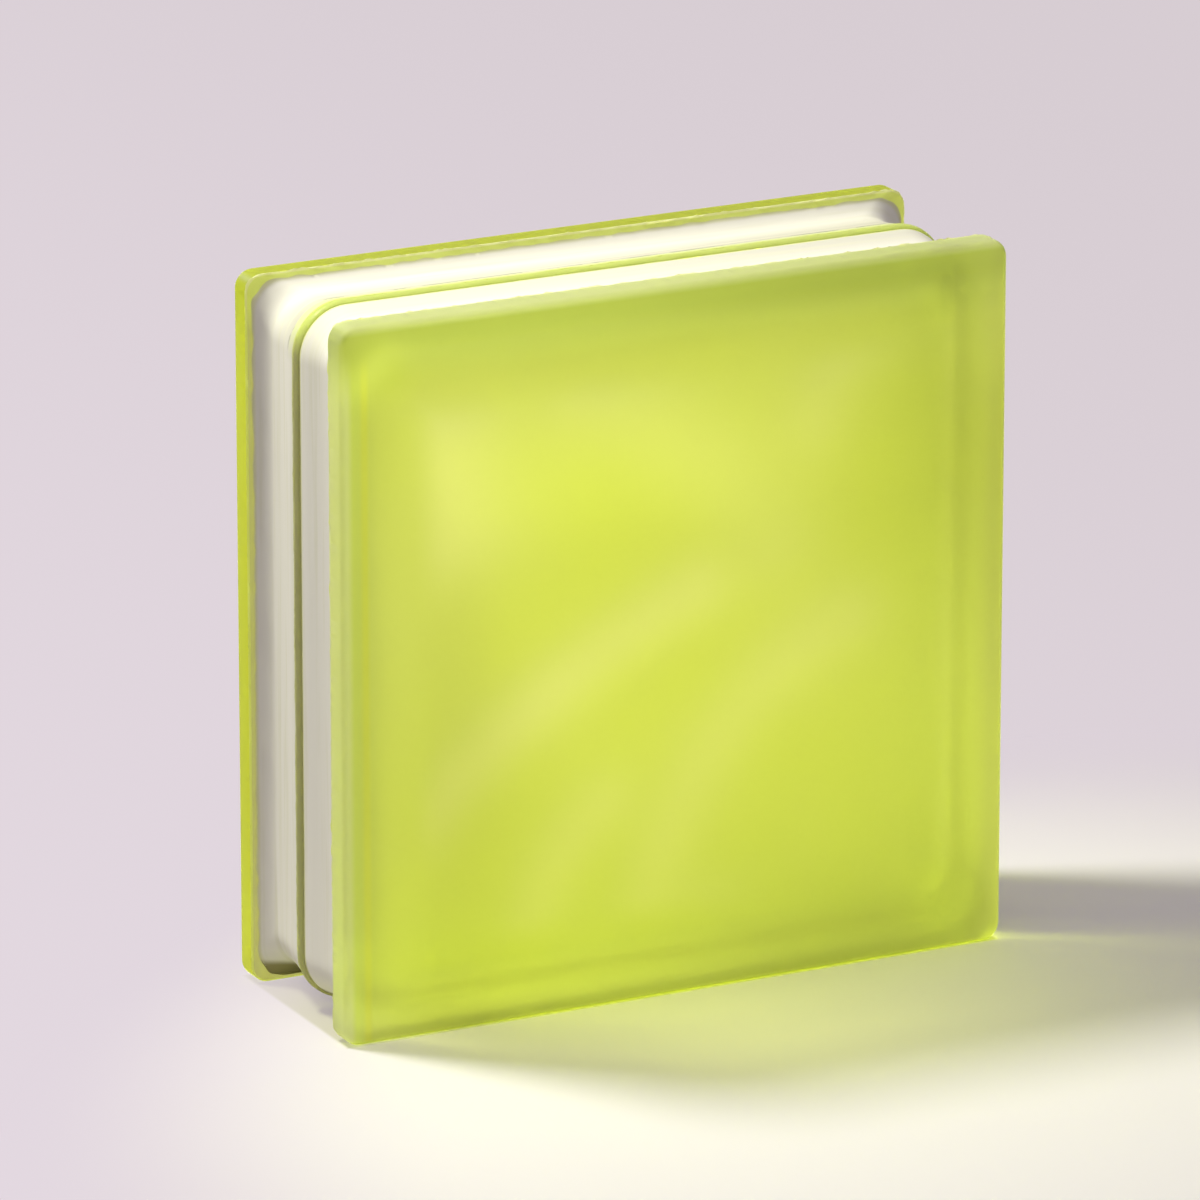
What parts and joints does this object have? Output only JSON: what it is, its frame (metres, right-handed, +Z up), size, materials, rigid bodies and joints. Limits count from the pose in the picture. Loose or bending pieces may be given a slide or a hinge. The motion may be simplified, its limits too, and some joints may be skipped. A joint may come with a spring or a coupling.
{
  "type": "glass block",
  "caption": "Hollow square wall block of satin lime-green glass: two wavy half shells fused at a seam, with lips and a white-coated mortar groove round the edges.",
  "frame": {"origin": "middle of the block's footprint, on the floor under its lower lips", "axes": "+X along the width, +Y from the front face to the back face, +Z up"},
  "size_m": [0.24, 0.08, 0.24],
  "materials": {
    "satin_glass": "lime-green pressed glass, acid-etched satin on the outside",
    "edge_coating": "thin white mortar-bonding coat, matt"
  },
  "bodies": {
    "root": {"front_half": "satin_glass", "back_half": "satin_glass"}
  },
  "joints": []
}
